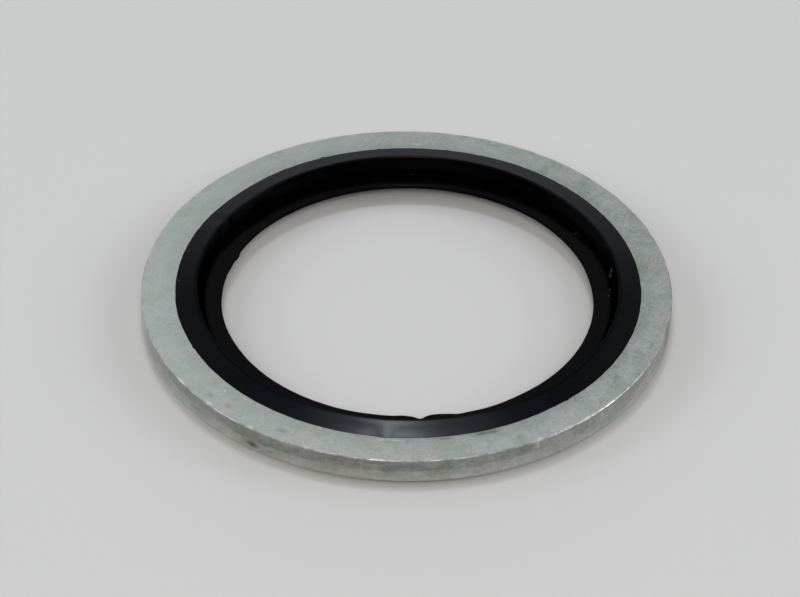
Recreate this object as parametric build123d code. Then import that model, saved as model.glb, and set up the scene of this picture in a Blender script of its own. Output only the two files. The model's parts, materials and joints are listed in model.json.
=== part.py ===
"""Self-centring bonded sealing washer for a one inch pipe thread.

A flat steel ring is blanked from strip and zinc plated. A rubber seal is moulded in its bore and
bonded to it: a sealing ridge stands proud of each steel face, and a thin web reaches inward at
mid thickness to grip the thread and centre the washer.

Millimetres, +Z up. The washer lies flat. The origin is on its axis, at the height of the lower
ridge's crest, which is what it rests on.
"""
import math
import os

from build123d import *

# Seal, measured outward from the thread that its web grips
centring_diameter = 30.0      # hole in the web
web_width = 1.5               # web, from its hole to the foot of the ridge wall
web_thickness = 0.38
wall_lean = 0.5               # how far the wall leans outward from the web to the crest
crest_radius = 0.12           # moulded round along each sealing crest
ridge_height = 0.55           # each crest above its steel face
flank_width = 1.75            # slope from the crest out to the bond with the steel

# Steel ring
steel_width = 2.65            # flat width from the bond to the blanked rim
steel_thickness = 2.1
rollover_radius = 0.1         # rim edge that the blanking die draws down
burnish_height = 0.85         # smooth sheared land below the rollover
fracture_angle = 2.0          # degrees that the torn zone below the land falls away inward

# Radii that follow
centring_radius = centring_diameter / 2
wall_foot_radius = centring_radius + web_width
crest_line_radius = wall_foot_radius + wall_lean
bond_radius = crest_line_radius + flank_width
rim_radius = bond_radius + steel_width

# Heights that follow
steel_bottom = ridge_height
steel_top = steel_bottom + steel_thickness
seal_bottom = 0.0
seal_top = steel_top + ridge_height
web_bottom = (steel_bottom + steel_top - web_thickness) / 2
web_top = web_bottom + web_thickness
burnish_bottom = steel_top - rollover_radius - burnish_height


def turned(profile):
    """Revolve a closed profile, drawn as radius and height, round the washer's axis."""
    return revolve(profile, axis=Axis.Z)


def steel_ring():
    """Flat ring: plain bonded bore, rolled top edge, smooth land, torn zone that leans in."""
    fracture_run = (burnish_bottom - steel_bottom) * math.tan(math.radians(fracture_angle))
    rollover_start = (rim_radius - rollover_radius, steel_top)
    land_top = (rim_radius, steel_top - rollover_radius)
    with BuildSketch(Plane.XZ) as section:
        with BuildLine():
            Polyline((bond_radius, steel_bottom), (bond_radius, steel_top), rollover_start)
            RadiusArc(rollover_start, land_top, rollover_radius)
            Polyline(
                land_top,
                (rim_radius, burnish_bottom),
                (rim_radius - fracture_run, steel_bottom),
                (bond_radius, steel_bottom),
            )
        make_face()
    return turned(section.sketch)


def rubber_seal():
    """Moulded seal: on each face a rounded crest, sloping flank and steep wall; thin web between."""
    crests = (
        (crest_line_radius, seal_bottom + crest_radius),
        (crest_line_radius, seal_top - crest_radius),
    )
    with BuildSketch(Plane.XZ) as section:
        with BuildLine():
            Line((bond_radius, steel_bottom), (bond_radius, steel_top))
            Line((wall_foot_radius, web_bottom), (wall_foot_radius, web_top))
            for crest in crests:
                CenterArc(crest, crest_radius, 0, 360)
        make_hull()
        with BuildLine():
            Polyline(
                (centring_radius, web_bottom),
                (wall_foot_radius, web_bottom),
                (wall_foot_radius, web_top),
                (centring_radius, web_top),
                close=True,
            )
        make_face()
    return turned(section.sketch)


os.makedirs("parts", exist_ok=True)
export_step(steel_ring(), "parts/steel_ring.step")
export_step(rubber_seal(), "parts/rubber_seal.step")
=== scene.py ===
"""Looks of a self-centring bonded sealing washer: a zinc-plated steel ring and its black rubber seal.

Metres, +Z up, in the frame of the CAD model: the washer lies on the floor at z = 0, its axis on the Z axis.
Angles round the washer are in degrees from +X towards +Y.
"""
import json
import math

import bpy
from mathutils import Matrix, Vector


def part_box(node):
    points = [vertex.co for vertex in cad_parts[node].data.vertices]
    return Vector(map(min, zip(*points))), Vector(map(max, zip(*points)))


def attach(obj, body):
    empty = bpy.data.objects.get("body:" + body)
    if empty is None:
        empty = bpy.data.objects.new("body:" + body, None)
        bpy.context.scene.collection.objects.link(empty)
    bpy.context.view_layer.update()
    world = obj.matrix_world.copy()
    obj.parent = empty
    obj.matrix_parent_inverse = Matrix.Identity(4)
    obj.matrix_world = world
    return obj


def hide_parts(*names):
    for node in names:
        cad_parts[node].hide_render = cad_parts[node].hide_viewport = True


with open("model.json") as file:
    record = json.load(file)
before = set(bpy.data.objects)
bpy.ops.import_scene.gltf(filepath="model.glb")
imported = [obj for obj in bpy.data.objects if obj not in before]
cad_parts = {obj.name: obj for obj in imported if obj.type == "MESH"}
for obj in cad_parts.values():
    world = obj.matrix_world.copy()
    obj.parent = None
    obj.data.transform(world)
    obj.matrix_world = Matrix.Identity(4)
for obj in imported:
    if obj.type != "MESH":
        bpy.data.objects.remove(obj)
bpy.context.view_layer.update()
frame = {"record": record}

MM = 0.001


# ---------------------------------------------------------------------------------------------
# Steel ring
# Blanked from steel strip in a press and zinc plated. The die rolls the upper rim edge over,
# shears a smooth land below it, and tears the rest away rough, leaning inward. The bore was
# pierced in an earlier stroke, so it is a little off the rim's centre and not quite round.
# ---------------------------------------------------------------------------------------------
ring_low, ring_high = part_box("steel_ring")
seal_low, seal_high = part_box("rubber_seal")
rim_radius = -ring_low.y
bond_radius = seal_high.x
underside = ring_low.z
upper_face = ring_high.z
bore_offset = (0.145 * MM, 0.16 * MM)
bore_swells = ((61, 16, 0.07), (140, 9, -0.08), (191, 8, 0.05), (265, 2, 0.09), (308, 7, -0.06))


class Field:
    """A socket of a node tree, written like a number: fields add, multiply and compare."""

    def __init__(self, tree, socket):
        self.tree = tree
        self.socket = socket

    def by(self, operation, *others):
        made = self.tree.nodes.new("ShaderNodeMath")
        made.operation = operation
        for slot, value in zip(made.inputs, (self, *others)):
            feed(self.tree, slot, value)
        return Field(self.tree, made.outputs[0])

    def __add__(self, other):
        return self.by("ADD", other)

    def __sub__(self, other):
        return self.by("SUBTRACT", other)

    def __mul__(self, other):
        return self.by("MULTIPLY", other)

    def __truediv__(self, other):
        return self.by("DIVIDE", other)

    __radd__ = __add__

    def __rsub__(self, other):
        return (self * -1.0) + other


def feed(tree, slot, value):
    """Link a field to an input, or set the input to a plain value."""
    if isinstance(value, Field):
        tree.links.new(value.socket, slot)
    else:
        slot.default_value = value


def node(tree, kind, inputs=None, output=0, **settings):
    """Add a node with its settings and inputs, and return one of its outputs as a field."""
    made = tree.nodes.new(kind)
    for name, value in settings.items():
        setattr(made, name, value)
    for name, value in (inputs or {}).items():
        feed(tree, made.inputs[name], value)
    return Field(tree, made.outputs[output])


def polar(tree, place):
    """Radius and height in metres and angle in degrees, 0 to 360, of a place."""
    x, y, z = (node(tree, "ShaderNodeSeparateXYZ", {0: place}, output=axis) for axis in range(3))
    radius = (x * x + y * y).by("SQRT")
    angle = (y.by("ARCTAN2", x) * math.degrees(1.0) + 360.0).by("MODULO", 360.0)
    return radius, angle, z


def rise(value, start, end):
    """Smooth step from 0 at start to 1 at end."""
    return node(value.tree, "ShaderNodeMapRange",
                {"Value": value, "From Min": start, "From Max": end}, interpolation_type="SMOOTHSTEP")


def bell(value, centre, spread):
    """Smooth hump of height 1 at the centre, which falls to 0.37 at the spread."""
    away = (value - centre) / spread
    return (away * away * -1.0).by("EXPONENT")


def swells(angle, humps):
    """Sum of humps round the ring, each given as angle, spread in degrees and height in millimetres."""
    total = bell(angle, humps[0][0], humps[0][1]) * (humps[0][2] * MM)
    for centre, spread, height in humps[1:]:
        total = total + bell(angle, centre, spread) * (height * MM)
    return total


def ripple(tree, place, size, seed, detail=2.0, roughness=0.5):
    """Smooth noise between about -1 and 1, with features of the given size."""
    noise = node(tree, "ShaderNodeTexNoise",
                 {"Vector": place, "W": seed, "Scale": 1.0 / size, "Detail": detail, "Roughness": roughness},
                 noise_dimensions="4D")
    return (noise - 0.5) * 2.0


def around(tree, place, radius):
    """The point of a circle of one radius that lies at the same angle as a place."""
    flat = node(tree, "ShaderNodeVectorMath", {0: place, 1: (1.0, 1.0, 0.0)}, operation="MULTIPLY")
    flat = node(tree, "ShaderNodeVectorMath", {0: flat}, operation="NORMALIZE")
    return node(tree, "ShaderNodeVectorMath", {0: flat, "Scale": radius}, operation="SCALE")


def turned(tree, corners, steps_round):
    """Turn a section round the Z axis, given corner by corner as radius, height, rounding and step.

    The step is the greatest length of the pieces that the side after the corner is divided into.
    """
    path_radius = 10 * MM
    places = [node(tree, "ShaderNodeCombineXYZ", {"X": radius - path_radius, "Y": height * -1.0})
              for radius, height, _, _ in corners]

    def by_corner(data_type, values):
        switch = tree.nodes.new("GeometryNodeIndexSwitch")
        switch.data_type = data_type
        while len(switch.index_switch_items) < len(values):
            switch.index_switch_items.new()
        feed(tree, switch.inputs["Index"], node(tree, "GeometryNodeInputIndex"))
        for number, value in enumerate(values):
            feed(tree, switch.inputs[str(number)], value)
        return Field(tree, switch.outputs[0])

    polygon = node(tree, "GeometryNodeCurvePrimitiveCircle", {"Resolution": len(corners)}, mode="RADIUS")
    steps = by_corner("FLOAT", [step for _, _, _, step in corners])
    polygon = node(tree, "GeometryNodeStoreNamedAttribute",
                   {"Geometry": polygon, "Name": "step", "Value": steps}, data_type="FLOAT", domain="POINT")
    section = node(tree, "GeometryNodeSetPosition",
                   {"Geometry": polygon, "Position": by_corner("VECTOR", places)})
    roundings = by_corner("FLOAT", [rounding for _, _, rounding, _ in corners])
    section = node(tree, "GeometryNodeFilletCurve",
                   {"Curve": section, "Radius": roundings, "Limit Radius": True, "Count": 6}, mode="POLY")
    here = node(tree, "GeometryNodeInputPosition")
    next_corner = node(tree, "GeometryNodeOffsetPointInCurve", {"Offset": 1}, output=1)
    there = node(tree, "GeometryNodeFieldAtIndex", {"Index": next_corner, "Value": here},
                 data_type="FLOAT_VECTOR")
    length = node(tree, "ShaderNodeVectorMath", {0: here, 1: there}, output=1, operation="DISTANCE")
    step = node(tree, "GeometryNodeInputNamedAttribute", {"Name": "step"}, data_type="FLOAT")
    section = node(tree, "GeometryNodeSubdivideCurve", {"Curve": section, "Cuts": length / step})
    circle = node(tree, "GeometryNodeCurvePrimitiveCircle",
                  {"Resolution": steps_round, "Radius": path_radius}, mode="RADIUS")
    circle = node(tree, "GeometryNodeSetCurveNormal", {"Curve": circle}, mode="Z_UP")
    shape = node(tree, "GeometryNodeCurveToMesh", {"Curve": circle, "Profile Curve": section})
    shape = node(tree, "GeometryNodeFlipFaces", {"Mesh": shape})
    return node(tree, "GeometryNodeRemoveAttribute", {"Geometry": shape, "Name": "step"})


def pushed(tree, shape, place, outward, shift_x, shift_y, upward):
    """Move the points of a turned shape outward, sideways and upward."""
    outward = around(tree, place, outward)
    aside = node(tree, "ShaderNodeCombineXYZ", {"X": shift_x, "Y": shift_y, "Z": upward})
    offset = node(tree, "ShaderNodeVectorMath", {0: outward, 1: aside}, operation="ADD")
    return node(tree, "GeometryNodeSetPosition", {"Geometry": shape, "Offset": offset})


def geometry_tree(name, sizes):
    """A Geometry Nodes tree with a named input for each size, and its inputs as fields."""
    tree = bpy.data.node_groups.new(name, "GeometryNodeTree")
    tree.interface.new_socket("Geometry", in_out="OUTPUT", socket_type="NodeSocketGeometry")
    for label, value in sizes.items():
        kind = "NodeSocketInt" if isinstance(value, int) else "NodeSocketFloat"
        tree.interface.new_socket(label, in_out="INPUT", socket_type=kind).default_value = value
    entry = tree.nodes.new("NodeGroupInput")
    return tree, {label: Field(tree, entry.outputs[label]) for label in sizes}


def finish_tree(tree, shape, material, sharp_above=35.0):
    """Shade the shape smooth apart from its sharp edges, and end in Realize Instances and Set Material."""
    shape = node(tree, "GeometryNodeSetShadeSmooth", {"Geometry": shape, "Shade Smooth": True})
    bend = node(tree, "GeometryNodeInputMeshEdgeAngle")
    shape = node(tree, "GeometryNodeSetShadeSmooth",
                 {"Geometry": shape, "Selection": bend.by("GREATER_THAN", math.radians(sharp_above)),
                  "Shade Smooth": False}, domain="EDGE")
    shape = node(tree, "GeometryNodeRealizeInstances", {"Geometry": shape})
    shape = node(tree, "GeometryNodeSetMaterial", {"Geometry": shape, "Material": material})
    feed(tree, tree.nodes.new("NodeGroupOutput").inputs["Geometry"], shape)


def grown(name, tree):
    """Run a tree once and keep its result as a plain mesh object at the origin."""
    seedling = bpy.data.objects.new(name + "_seedling", bpy.data.meshes.new(name + "_seedling"))
    bpy.context.collection.objects.link(seedling)
    modifier = seedling.modifiers.new("shape", "NODES")
    modifier.node_group = tree
    depsgraph = bpy.context.evaluated_depsgraph_get()
    mesh = bpy.data.meshes.new_from_object(seedling.evaluated_get(depsgraph), depsgraph=depsgraph)
    bpy.data.objects.remove(seedling)
    mesh.name = name
    piece = bpy.data.objects.new(name, mesh)
    bpy.context.collection.objects.link(piece)
    return piece


def new_material(name, roughness, specular_level, metallic):
    """A material, its tree and its shader, with the values that are the same all over."""
    material = bpy.data.materials.new(name)
    material.use_nodes = True
    shader = material.node_tree.nodes["Principled BSDF"]
    shader.inputs["Roughness"].default_value = roughness
    shader.inputs["Specular IOR Level"].default_value = specular_level
    shader.inputs["Metallic"].default_value = metallic
    return material, material.node_tree, shader


def mixed(tree, amount, first, second):
    """A colour between the first, at amount 0, and the second, at amount 1."""
    return node(tree, "ShaderNodeMix", {0: amount, 6: first, 7: second}, output=2, data_type="RGBA")


def toned(tree, colour, tone):
    """A colour made lighter or darker by a tone, where 1 keeps it."""
    return node(tree, "ShaderNodeVectorMath", {0: colour, "Scale": tone}, operation="SCALE")


def spot(angle, along, mark):
    """Soft spot given as angle, spread in degrees, place along the radius or height, and spread, in mm."""
    centre, spread, middle_mm, spread_mm = mark
    return bell(angle, centre, spread) * bell(along, middle_mm * MM, spread_mm * MM)


def spots(angle, along, marks):
    total = spot(angle, along, marks[0])
    for mark in marks[1:]:
        total = total + spot(angle, along, mark)
    return total.by("MINIMUM", 1.0)


# Zinc: greenish grey in patches from the passivation bath, duller where the steel below was torn.
zinc_green = (0.309, 0.354, 0.320, 1.0)
zinc_grey = (0.345, 0.345, 0.342, 1.0)
zinc_dark = (0.17, 0.185, 0.175, 1.0)
zinc_bright = (0.78, 0.80, 0.78, 1.0)
cool_tint = (0.972, 1.002, 1.0, 1.0)
warm_tint = (1.040, 0.999, 0.972, 1.0)
old_oil = (0.13, 0.125, 0.06, 1.0)
grime = (0.07, 0.085, 0.055, 1.0)
rust_tint = (0.25, 0.21, 0.10, 1.0)

# Marks on the upper face, some of them painted glints: angle, spread in degrees, radius and spread in
# millimetres.
oil_marks = ((288.5, 1.6, 18.93, 0.18), (291.2, 1.3, 19.0, 0.2), (279.5, 1.4, 18.9, 0.1))
dark_marks = (
    (270.6, 0.25, 19.05, 0.2), (70.2, 1.2, 20.75, 0.12), (39, 0.35, 20.5, 0.3),
    (221.8, 0.8, 20.5, 0.2), (227.3, 1.0, 20.4, 0.25), (326.5, 1.0, 19.9, 0.25),
    (358.8, 0.5, 20.4, 0.15), (341, 1.2, 20.7, 0.1), (242, 1.3, 20.3, 0.25),
    (82.5, 0.3, 19.2, 0.12), (296, 0.8, 20.3, 0.25), (283, 0.5, 20.0, 0.15),
)
# Pale flecks and painted glints on burrs, most of them along the bore edge.
pale_flecks_and_glints = (
    (88, 1.3, 19.55, 0.05), (222.9, 0.3, 19.3, 0.07), (228.5, 0.3, 18.9, 0.06),
    (241, 0.3, 18.92, 0.06), (264.5, 0.6, 18.95, 0.08), (267.5, 1.2, 18.9, 0.07),
)
# Painted glints on the rim edge, at listed angles.
rim_glint_spots = (
    (213.8, 1.6, 21.3, 0.08), (223.6, 0.8, 21.2, 0.12), (235.5, 0.7, 21.2, 0.14),
    (249, 0.5, 21.3, 0.1), (264, 1.0, 21.3, 0.1), (299.6, 0.6, 21.25, 0.12),
    (306.5, 1.2, 21.3, 0.1), (312, 0.8, 21.3, 0.1), (319, 1.0, 21.3, 0.1),
)

# Marks on the rim's side: angle, spread in degrees, height and spread in millimetres.
side_dark_marks = (
    (239.5, 0.9, 1.6, 0.16), (246.8, 1.1, 2.1, 0.2), (264.5, 2.2, 2.35, 0.14),
    (275, 2.4, 1.8, 0.14), (297, 0.9, 2.25, 0.22), (307.7, 0.9, 2.45, 0.15),
    (240.7, 0.6, 1.1, 0.12), (238.8, 1.2, 0.78, 0.1), (270, 4.0, 2.1, 0.16),
)
side_bright_marks = ((298.9, 0.3, 2.2, 0.35), (312.5, 0.25, 1.9, 0.4), (316.1, 0.3, 2.15, 0.25))
side_grime_marks = ((236.1, 1.3, 1.08, 0.3),)
side_rust_marks = ((234.0, 0.9, 1.7, 0.9),)

zinc, tree, shader = new_material("zinc_plating", roughness=0.42, specular_level=0.5, metallic=1.0)
place = node(tree, "ShaderNodeTexCoord", output=3)
radius, angle, height = polar(tree, place)
edge_band = 0.2 * MM
press_pitch = 0.12
rim_pitch = 3.0
on_side = rise(radius, rim_radius - 0.12 * MM, rim_radius - 0.05 * MM)
on_top = height.by("GREATER_THAN", upper_face - edge_band) * (1.0 - on_side)
along_press = node(tree, "ShaderNodeVectorMath",
                   {0: around(tree, place, rim_radius),
                    1: node(tree, "ShaderNodeCombineXYZ", {"Z": (radius + height) * press_pitch})},
                   operation="ADD")
round_rim = node(tree, "ShaderNodeVectorMath",
                 {0: around(tree, place, rim_radius),
                  1: node(tree, "ShaderNodeCombineXYZ", {"Z": height * rim_pitch})}, operation="ADD")
patches = ripple(tree, place, 2.6 * MM, seed=11)
blotches = ripple(tree, place, 1.1 * MM, seed=12, detail=4.0, roughness=0.6)
grain = ripple(tree, place, 0.24 * MM, seed=13)
strokes = ripple(tree, along_press, 0.4 * MM, seed=14, detail=3.0)
flecks = rise(ripple(tree, place, 0.34 * MM, seed=17), 0.3, 0.6)
pits = rise(ripple(tree, place, 0.5 * MM, seed=18), 0.35, 0.65)
smears = rise(ripple(tree, place, 0.8 * MM, seed=15, detail=3.0), 0.38, 0.75)
smudges = ripple(tree, round_rim, 1.9 * MM, seed=21, detail=3.0)
front = bell(angle, 262.0, 32.0)
tear_height = 1.72 * MM
tear_sag = 0.22 * MM
tear_wander = 0.45 * MM
tear_blend = 0.2 * MM
tear_line = (ripple(tree, around(tree, place, rim_radius), 1.3 * MM, seed=20, detail=3.0) * tear_wander
             + tear_height - front * tear_sag)
torn_zone = on_side * (1.0 - rise(height - tear_line, -tear_blend, tear_blend))
# Rim edge: lighter and glossier where it is worn, with a painted highlight that is strongest near angles 316
# and 224 and toned down near 222, 272 and 340.
polish_and_glint = bell(angle, 316.0, 10.0) * 0.8 + bell(angle, 224.0, 7.0) * 0.2
rim_edge = (rise(height, upper_face - 0.15 * MM, upper_face - 0.03 * MM)
            * rise(radius, rim_radius - 0.14 * MM - polish_and_glint * (0.1 * MM), rim_radius - 0.05 * MM))
less_wear_and_glint = (bell(angle, 222.0, 14.0) * 0.4 + bell(angle, 272.0, 9.0) * 0.6
          + bell(angle, 340.0, 13.0) * 0.7)
wear = ripple(tree, along_press, 0.9 * MM, seed=19, detail=4.0, roughness=0.6)
wear_and_glint = rise(wear + polish_and_glint * 0.3, -0.15, 0.3) * (1.0 - less_wear_and_glint)
# Painted light: the upper face is made lighter towards angle 218 and darker on the far side, as the light
# falls.
painted_light_side = ((angle - 218.0) * math.radians(1.0)).by("COSINE")
worn_side = ((angle + 20.0) * math.radians(1.0)).by("COSINE") * 0.3 + 1.03
colour = mixed(tree, rise((patches + blotches * 0.6) * worn_side, -0.8, 0.8), zinc_green, zinc_grey)
# Warm and cool patches, and a painted warm light on the front, strongest on the side.
warmth_and_warm_light = (rise(ripple(tree, place, 1.8 * MM, seed=16, detail=4.0, roughness=0.6), -0.5, 0.5)
          + bell(angle, 258.0, 28.0) * (0.35 + on_side * 0.2))
colour = node(tree, "ShaderNodeVectorMath", {0: colour, 1: mixed(tree, warmth_and_warm_light, cool_tint, warm_tint)},
              operation="MULTIPLY")
# Patches of tone, and painted light that is lighter towards angle 62.
mottle_and_painted_light = ((patches * 0.14 + blotches * 0.3 + grain * 0.28 + flecks * 0.22 - pits * 0.22) * worn_side
          + smudges * on_side * 0.4 + strokes * (0.05 + on_side * 0.06) + bell(angle, 62.0, 25.0) * 0.07)
# Upper face: darker towards the bore, and painted light that is lighter towards angle 218.
face_tone_and_painted_light = rise(radius, 19.0 * MM, 20.4 * MM) * 0.12 - 0.07 + painted_light_side * 0.19
# Painted light on the rim's side: lighter at the foot and near angle 184. Painted shade: darker at the front
# and at the right end near angle 358. The torn zone is lighter, more so at the front.
lit_foot = 1.0 - rise(height, 0.7 * MM, 1.2 * MM)
shaded_right_end = rise(((angle - 358.0) * math.radians(1.0)).by("COSINE"), 0.94, 1.0)
side_tone_and_painted_light = (-0.05 - front * 0.35 + torn_zone * 0.2 + torn_zone * front * 0.26 + lit_foot * 0.22
             + bell(angle, 184.0, 10.0) * 0.18 - shaded_right_end * 0.4)
# Zinc tone, with the painted light and shade of the upper face and the side.
colour = toned(tree, colour, 1.21 + mottle_and_painted_light + (1.0 - on_side) * face_tone_and_painted_light + on_side * side_tone_and_painted_light)
colour = mixed(tree, smears * 0.25, colour, zinc_dark)
colour = mixed(tree, spots(angle, radius, dark_marks) * on_top * 0.45, colour, zinc_dark)
colour = mixed(tree, spots(angle, radius, oil_marks) * on_top * 0.7, colour, old_oil)
# Pale flecks and painted glints, most of them near the bore edge.
colour = mixed(tree, spots(angle, radius, pale_flecks_and_glints) * on_top * 0.7, colour, zinc_bright)
colour = mixed(tree, spots(angle, height, side_dark_marks) * on_side * 0.5, colour, zinc_dark)
colour = mixed(tree, spots(angle, height, side_bright_marks) * on_side * 0.4, colour, zinc_bright)
colour = mixed(tree, spots(angle, height, side_rust_marks) * on_side * 0.3, colour, rust_tint)
colour = mixed(tree, spots(angle, height, side_grime_marks) * on_side * 0.85, colour, grime)
# Painted glints on the rim edge, added to its wear.
glints = spots(angle, radius, rim_glint_spots) * rise(height, upper_face - edge_band, upper_face)
rim_wear_and_glints = (rim_edge * wear_and_glint + glints).by("MINIMUM", 1.0)
colour = mixed(tree, rim_wear_and_glints * (0.55 + polish_and_glint * 0.4), colour, zinc_bright)
feed(tree, shader.inputs["Base Color"], colour)
feed(tree, shader.inputs["Roughness"],
     0.42 + blotches * 0.06 + grain * 0.05 + torn_zone * 0.2 - on_side * 0.04 - rim_wear_and_glints * 0.12
     + rim_edge * (1.0 - wear_and_glint) * 0.2)
relief = grain * 0.6 + blotches * 0.5 + strokes * (0.3 + on_side)
feed(tree, shader.inputs["Normal"],
     node(tree, "ShaderNodeBump", {"Strength": 0.4, "Distance": 0.02 * MM, "Height": relief}))

ring_tree, size = geometry_tree("blanked ring", {
    "Bond radius": bond_radius,
    "Rim radius": rim_radius,
    "Underside": underside,
    "Upper face": upper_face,
    "Rollover radius": 0.1 * MM,
    "Burr radius": 0.03 * MM,
    "Bore offset X": bore_offset[0],
    "Bore offset Y": bore_offset[1],
    "Tear line height": 1.7 * MM,
    "Tear line wander": 0.14 * MM,
    "Tear lean": math.tan(math.radians(2.0)),
    "Tear ledge": 0.012 * MM,
    "Tear roughness": 0.018 * MM,
    "Face hollows": 0.008 * MM,
    "Edge dents": 0.02 * MM,
    "Steps round": 1080,
    "Fine step": 0.09 * MM,
    "Coarse step": 0.6 * MM,
})
rim, top = size["Rim radius"], size["Upper face"]
ring_shape = turned(ring_tree, [
    (size["Bond radius"], size["Underside"], 0.0, size["Coarse step"]),
    (rim, size["Underside"], size["Burr radius"], size["Fine step"]),
    (rim, top, size["Rollover radius"], size["Fine step"]),
    (size["Bond radius"], top, 0.0, size["Coarse step"] * 2.0),
], size["Steps round"])
place = node(ring_tree, "GeometryNodeInputPosition")
radius, angle, height = polar(ring_tree, place)
ring_line = around(ring_tree, place, rim)
at_bore = (rim - radius) / (rim - size["Bond radius"])
at_rim = rise(radius, rim - 0.5 * MM, rim)
wander = ripple(ring_tree, ring_line, 5 * MM, seed=1) + ripple(ring_tree, ring_line, 1.2 * MM, seed=2) * 0.5
tear_line = size["Tear line height"] + wander * size["Tear line wander"]
torn = rise(tear_line - height, 0.0, 0.1 * MM)
lean = (tear_line - height).by("MAXIMUM", 0.0) * size["Tear lean"]
crumbs = ripple(ring_tree, place, 0.45 * MM, seed=3, detail=3.0) + 0.6
tear = crumbs.by("MAXIMUM", 0.0) * size["Tear roughness"]
corner_distance = ((radius - rim) * (radius - rim) + (height - top) * (height - top)).by("SQRT")
dents = ((ripple(ring_tree, ring_line, 0.9 * MM, seed=4) + 0.1).by("MAXIMUM", 0.0)
         * (1.0 - rise(corner_distance, 0.02 * MM, 0.3 * MM)) * size["Edge dents"])
hollows = (ripple(ring_tree, place, 3.5 * MM, seed=5) + 1.0).by("MAXIMUM", 0.0) * size["Face hollows"] * 0.5
face_side = (height.by("GREATER_THAN", (top + size["Underside"]) * 0.5) - 0.5) * -2.0
ring_shape = pushed(
    ring_tree, ring_shape, place,
    swells(angle, bore_swells) * at_bore - at_rim * (lean + torn * (tear + size["Tear ledge"]) + dents),
    size["Bore offset X"] * at_bore,
    size["Bore offset Y"] * at_bore,
    face_side * hollows - dents * height.by("GREATER_THAN", top - 0.3 * MM))
finish_tree(ring_tree, ring_shape, zinc)
steel_ring = grown("plated_ring", ring_tree)
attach(steel_ring, "root")
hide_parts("steel_ring")


# ---------------------------------------------------------------------------------------------
# Rubber seal
# One black rubber moulding, cured in the ring's bore and bonded to it: a crest on each face, and
# between them a thin web that centres the washer. The mould located the ring by its rim, and the
# web's flash was trimmed, which left nibs and a notch in the edge of the hole.
# ---------------------------------------------------------------------------------------------
mould_offset_x = 0.1 * MM
flash_swells = (
    (265, 10.5, -0.09), (268.8, 2.2, -0.09), (274.1, 1.6, 0.31), (279.5, 4.4, -0.2),
    (285.8, 1.8, 0.07), (7, 9, -0.03), (45, 8, 0.03), (115, 35, -0.07), (192, 12, 0.05),
    (222, 16, 0.02), (295, 10, 0.09), (322, 18, 0.04),
)
crest_swells = (
    (40, 6, -0.07), (72, 32, 0.09), (137.5, 5.5, -0.15), (142, 28, -0.05),
    (151.5, 1.6, -0.13), (155, 2.0, 0.05), (262, 25, 0.05),
)
film_swells = (
    (80.5, 0.5, 0.08), (112.8, 0.4, 0.12), (98.0, 0.4, 0.05), (205.0, 0.5, 0.06),
    (312.0, 0.5, 0.06),
)

# Rubber: a base far darker than real rubber, so that the sheen of the skin and a bluish sheen painted on the
# flank carry the look.
rubber_black = (0.0003, 0.0003, 0.0004, 1.0)
rubber_worn = (0.0009, 0.0009, 0.0011, 1.0)
rubber_dust = (0.10, 0.10, 0.11, 1.0)
painted_blue_sheen = (0.062, 0.082, 0.118, 1.0)
# Pale flecks on the web, wall and flank: angle, spread in degrees, radius and spread in millimetres.
pale_flecks = (
    (9.2, 0.45, 16.72, 0.05), (10.0, 0.4, 16.84, 0.06), (4.3, 0.4, 16.49, 0.04),
    (1.6, 0.3, 16.35, 0.04), (32.0, 0.2, 16.32, 0.04), (165.8, 0.2, 18.32, 0.05),
    (178.0, 0.2, 18.42, 0.05),
)
scuff_mark = (267.9, 0.3, 17.67, 0.3)
rubber, tree, shader = new_material("black_rubber", roughness=0.45, specular_level=0.0, metallic=0.0)
shader.inputs["Coat IOR"].default_value = 2.0
shader.inputs["Coat Roughness"].default_value = 0.2
place = node(tree, "ShaderNodeTexCoord", output=3)
radius, angle, height = polar(tree, place)
skin_patches = ripple(tree, place, 1.6 * MM, seed=21, detail=4.0, roughness=0.6)
skin_grain = ripple(tree, place, 0.12 * MM, seed=22)
mould_radius = radius - (angle * math.radians(1.0)).by("COSINE") * mould_offset_x
on_flank = rise(mould_radius, 16.95 * MM, 17.45 * MM)
fluff = node(tree, "ShaderNodeTexVoronoi", {"Vector": place, "Scale": 1.0 / (1.3 * MM)}, feature="F1")
fluff = (1.0 - rise(fluff, 0.02, 0.05)) * rise(skin_patches, -0.1, 0.3)
colour = mixed(tree, rise(skin_patches, -0.8, 0.8), rubber_black, rubber_worn)
colour = mixed(tree, fluff * 0.35, colour, rubber_dust)
colour = mixed(tree, spots(angle, radius, pale_flecks) * 0.6, colour, rubber_dust)
# Painted bluish sheen on the flank, strongest at the front near angle 268.
colour = mixed(tree, on_flank * (0.02 + bell(angle, 268.0, 42.0) * 0.07), colour, painted_blue_sheen)
feed(tree, shader.inputs["Base Color"], colour)
feed(tree, shader.inputs["Roughness"], 0.45 + skin_patches * 0.06 + skin_grain * 0.03)
skin_relief = node(tree, "ShaderNodeBump", {"Strength": 0.3, "Distance": 0.01 * MM,
                                            "Height": skin_grain * 0.3 + skin_patches})
feed(tree, shader.inputs["Normal"], skin_relief)
feed(tree, shader.inputs["Coat Normal"], skin_relief)
scuff = spot(angle, radius, scuff_mark)
rubbed = bell(angle, 267.0, 7.0)
sheen = 0.04 + on_flank * (0.055 + (scuff + rubbed) * 0.03 + skin_patches * 0.012)
dull_root = bell(mould_radius, 16.5 * MM, 0.2 * MM)
feed(tree, shader.inputs["Coat Weight"], sheen * (1.0 - dull_root))

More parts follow.
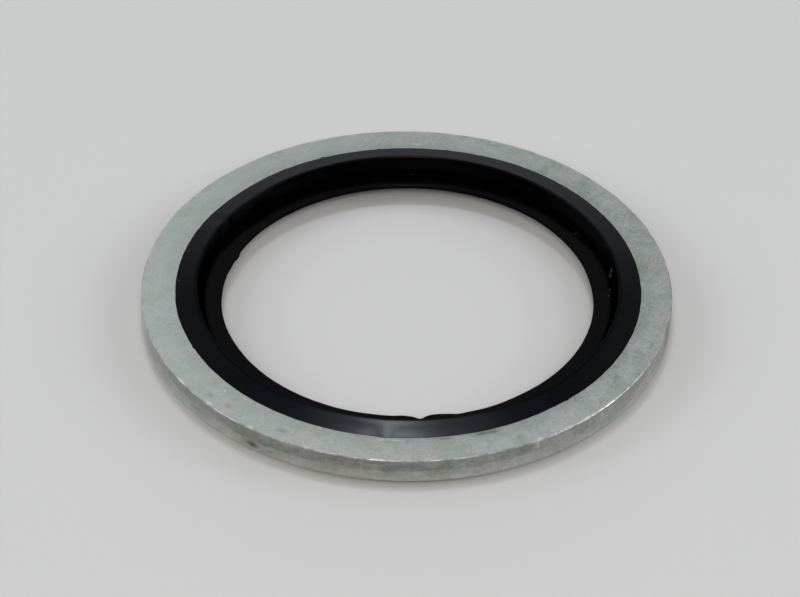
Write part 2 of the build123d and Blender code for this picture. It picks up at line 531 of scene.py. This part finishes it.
seal_top = seal_high.z
centring_radius = frame["record"]["mounts"][0]["dims"]["r_mm"] * MM
middle = (underside + upper_face) / 2
web_thickness = 0.38 * MM
crest_radius = 17.0 * MM
foot_radius = 16.5 * MM
crest_round = 0.12 * MM
flank_slope = math.atan2(seal_top - upper_face, bond_radius - crest_radius)
wall_slope = math.atan2(seal_top - middle - web_thickness / 2, foot_radius - crest_radius)
half_corner = (wall_slope - flank_slope) / 2
bisector = (wall_slope + flank_slope) / 2
crest_lift = crest_round * (math.sin(bisector) / math.sin(half_corner) - 1)
seal_tree, size = geometry_tree("moulded seal", {
    "Bond radius": bond_radius,
    "Crest radius": crest_radius,
    "Wall foot radius": foot_radius,
    "Hole radius": centring_radius,
    "Underside": underside,
    "Upper face": upper_face,
    "Upper crest": seal_top + crest_lift,
    "Lower crest": seal_low.z - crest_lift,
    "Crest round": crest_round,
    "Root round": 0.2 * MM,
    "Edge round": 0.08 * MM,
    "Web top": middle + web_thickness / 2,
    "Web bottom": middle - web_thickness / 2,
    "Mould offset X": mould_offset_x,
    "Bore offset X": bore_offset[0],
    "Bore offset Y": bore_offset[1],
    "Film width": 0.03 * MM,
    "Film thickness": 0.006 * MM,
    "Skin waves": 0.012 * MM,
    "Flank hollow": 0.003 * MM,
    "Steps round": 800,
    "Fine step": 0.11 * MM,
    "Coarse step": 0.3 * MM,
})
bond, crest, hole = size["Bond radius"], size["Crest radius"], size["Hole radius"]
film_edge = bond + size["Film width"]
seal_shape = turned(seal_tree, [
    (film_edge, size["Underside"] - size["Film thickness"], 0.0, size["Coarse step"]),
    (bond, size["Underside"], 0.0, size["Coarse step"] * 8.0),
    (bond, size["Upper face"], 0.0, size["Coarse step"]),
    (film_edge, size["Upper face"] + size["Film thickness"], 0.0, size["Fine step"]),
    (crest, size["Upper crest"], size["Crest round"], size["Fine step"]),
    (size["Wall foot radius"], size["Web top"], size["Root round"], size["Fine step"]),
    (hole, size["Web top"], size["Edge round"], size["Fine step"]),
    (hole, size["Web bottom"], size["Edge round"], size["Coarse step"]),
    (size["Wall foot radius"], size["Web bottom"], size["Root round"], size["Coarse step"]),
    (crest, size["Lower crest"], size["Crest round"], size["Coarse step"]),
], size["Steps round"])
place = node(seal_tree, "GeometryNodeInputPosition")
radius, angle, height = polar(seal_tree, place)
hole_line = around(seal_tree, place, hole)
at_bond = rise(radius, crest, bond)
at_crest = rise(radius, size["Wall foot radius"], crest) * (1.0 - at_bond)
at_edge = 1.0 - rise(radius, hole + 0.05 * MM, hole + 0.9 * MM)
nib = (bell(angle, 159.0, 2.0) + bell(angle, 164.0, 3.0) * 0.5) * rise(angle, 156.2, 157.2)
nib_reach = 0.15 * MM
flash = (swells(angle, flash_swells) - nib * nib_reach
         + ripple(seal_tree, hole_line, 2.5 * MM, seed=6, detail=3.0) * (0.03 * MM)
         + ripple(seal_tree, hole_line, 0.4 * MM, seed=10) * (0.015 * MM))
crest_run = swells(angle, crest_swells) + ripple(seal_tree, hole_line, 4 * MM, seed=7) * (0.03 * MM)
skin = ripple(seal_tree, place, 1.1 * MM, seed=8) * size["Skin waves"]
face_side = (height.by("GREATER_THAN", middle) - 0.5) * -2.0
flank_middle = 17.85 * MM
film = ripple(seal_tree, hole_line, 0.8 * MM, seed=9, detail=3.0) * (0.05 * MM) + swells(angle, film_swells)
film = film * rise(radius, bond, film_edge)
seal_shape = pushed(
    seal_tree, seal_shape, place,
    swells(angle, bore_swells) * at_bond + flash * at_edge + crest_run * at_crest + film,
    size["Mould offset X"] + (size["Bore offset X"] - size["Mould offset X"]) * at_bond,
    size["Bore offset Y"] * at_bond,
    skin * (1.0 - at_bond) * (1.0 - at_crest)
    + face_side * bell(radius, flank_middle, 0.5 * MM) * size["Flank hollow"])
finish_tree(seal_tree, seal_shape, rubber)
seal = grown("moulded_seal", seal_tree)
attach(seal, "root")
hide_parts("rubber_seal")


# ---------------------------------------------------------------------------------------------
# Floor, light and camera
# A plain white sheet in a light tent whose back wall is brightest low down. Soft boxes hang over
# the camera, overhead inside a wider sheet, and behind; two small ones stand low at either side.
# ---------------------------------------------------------------------------------------------
floor_mesh = bpy.data.meshes.new("floor")
reach = 2.0
floor_corners = [(-reach, -reach, 0), (reach, -reach, 0), (reach, reach, 0), (-reach, reach, 0)]
floor_mesh.from_pydata(floor_corners, [], [(0, 1, 2, 3)])
floor = bpy.data.objects.new("floor", floor_mesh)
bpy.context.collection.objects.link(floor)
sheet, tree, shader = new_material("pale_sheet", roughness=1.0, specular_level=0.0, metallic=0.0)
sheet_white = (0.616, 0.610, 0.604, 1.0)
shader.inputs["Base Color"].default_value = sheet_white
floor_mesh.materials.append(sheet)

tent_back = 0.3
back_glow = 1.5
side_glow = 2.45
front_glow = 0.4
low_tint = (0.84, 0.97, 1.13, 1.0)
high_tint = (0.96, 1.0, 1.04, 1.0)
world = bpy.data.worlds.new("light_tent")
bpy.context.scene.world = world
world.use_nodes = True
tree = world.node_tree
towards = node(tree, "ShaderNodeTexCoord", output=0)
x, y, z = (node(tree, "ShaderNodeSeparateXYZ", {0: towards}, output=axis) for axis in range(3))
elevation = z.by("ARCSINE") * math.degrees(1.0)
flat = (x * x + y * y).by("MAXIMUM", 0.000001)
behind = y.by("MAXIMUM", 0.0)
before = (0.0 - y).by("MAXIMUM", 0.0)
back_wall = rise(elevation, -22.0, 4.0) * (1.0 - rise(elevation, 5.0, 36.0)) * back_glow + tent_back
side_walls = rise(elevation, 8.0, 22.0) * (1.0 - rise(elevation, 34.0, 56.0)) * side_glow
front_wall = rise(elevation, 0.0, 15.0) * (1.0 - rise(elevation, 50.0, 70.0)) * front_glow
back_share, side_share, front_share = behind * behind / flat, x * x / flat, before * before / flat
feed(tree, tree.nodes["Background"].inputs["Color"],
     mixed(tree, rise(elevation, -4.0, 10.0), low_tint, high_tint))
feed(tree, tree.nodes["Background"].inputs["Strength"],
     back_wall * back_share * back_share + side_walls * side_share * side_share + front_wall * front_share)


def soft_box(name, azimuth, elevation, across, high, radiance, tint=(1.0, 1.0, 1.0)):
    """Hang an oval lamp aimed at the washer, its width and height in degrees as the washer sees it."""
    distance = 1.2
    half_width = distance * math.tan(math.radians(across / 2))
    half_height = distance * math.tan(math.radians(high / 2))
    data = bpy.data.lights.new(name, "AREA")
    data.shape = "ELLIPSE"
    data.size = 2 * half_width
    data.size_y = 2 * half_height
    data.energy = radiance * math.pi * math.pi * half_width * half_height
    data.color = tint
    lamp = bpy.data.objects.new(name, data)
    bpy.context.collection.objects.link(lamp)
    flat = math.cos(math.radians(elevation))
    direction = Vector((flat * math.cos(math.radians(azimuth)), flat * math.sin(math.radians(azimuth)),
                        math.sin(math.radians(elevation))))
    lamp.location = direction * distance
    lamp.rotation_euler = direction.to_track_quat("Z", "Y").to_euler()
    lamp.visible_camera = False


soft_box("camera_box", azimuth=270, elevation=42, across=22, high=18, radiance=10.5, tint=(1.10, 1.0, 0.90))
soft_box("overhead_box", azimuth=101, elevation=79, across=9, high=9, radiance=17, tint=(0.97, 1.0, 1.03))
soft_box("overhead_sheet", azimuth=98, elevation=79, across=30, high=14, radiance=2.2,
         tint=(0.86, 0.98, 1.10))
soft_box("right_box", azimuth=2, elevation=19, across=12, high=12, radiance=5.5)
soft_box("left_box", azimuth=195, elevation=22, across=12, high=12, radiance=3.8)
soft_box("back_box", azimuth=90, elevation=43, across=36, high=16, radiance=0.75)

# The washer's axis, at its upper face, shows a little to the right of and above the picture's centre.
picture_width = 800
focal_px = 4770.6
camera_elevation = math.radians(38.438)
camera_roll = math.radians(0.664)
camera_distance = 384.7 * MM
sight_offset_px = (6.61, -9.67)
camera_data = bpy.data.cameras.new("camera")
camera_data.sensor_width = 36.0
camera_data.lens = focal_px * camera_data.sensor_width / picture_width
camera_data.clip_start = 0.01
camera_data.clip_end = 10.0
camera = bpy.data.objects.new("camera", camera_data)
bpy.context.collection.objects.link(camera)
sight = Vector((sight_offset_px[0], -sight_offset_px[1], -focal_px))
turn_to_sight = sight.rotation_difference(Vector((0, 0, -1))).to_matrix().to_4x4()
aim = Matrix.Rotation(math.pi / 2 - camera_elevation, 4, "X")
roll = Matrix.Rotation(camera_roll, 4, "Z")
target = Vector((0, 0, upper_face))
back = Vector((0, -math.cos(camera_elevation), math.sin(camera_elevation)))
camera.matrix_world = Matrix.Translation(target + back * camera_distance) @ aim @ roll @ turn_to_sight
bpy.context.scene.camera = camera
bpy.context.scene.view_settings.view_transform = "Standard"
